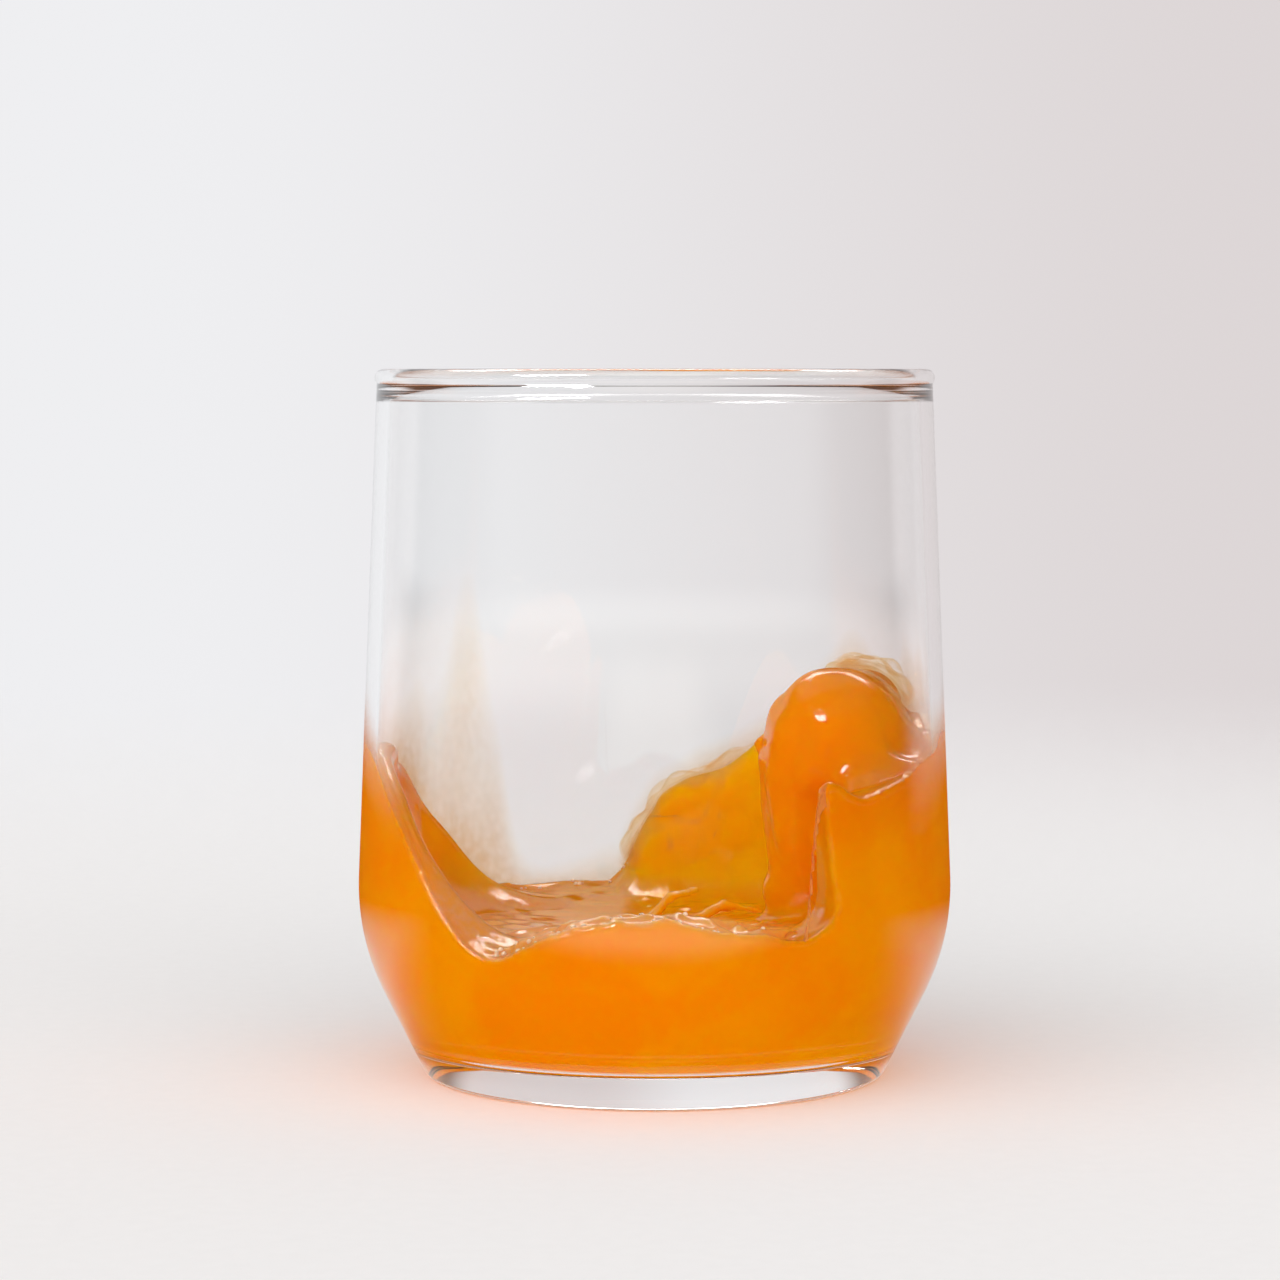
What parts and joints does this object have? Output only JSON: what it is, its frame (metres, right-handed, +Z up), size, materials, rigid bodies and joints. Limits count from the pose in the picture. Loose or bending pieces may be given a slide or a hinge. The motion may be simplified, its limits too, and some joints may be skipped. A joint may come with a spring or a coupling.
{
  "type": "glass of orange juice",
  "caption": "Stemless drinking glass partly filled with orange juice that surges up its wall in a breaking wave.",
  "frame": {"origin": "middle of the glass's foot, on the surface it stands on", "axes": "+Z up along the glass's axis, +X towards the tall wave, -Y towards the side that the picture shows"},
  "size_m": [0.0842, 0.0842, 0.1],
  "materials": {
    "glass": "clear, fire-polished",
    "juice": "wet and glossy"
  },
  "bodies": {
    "root": {"glass": "glass", "juice": "juice"}
  },
  "joints": []
}
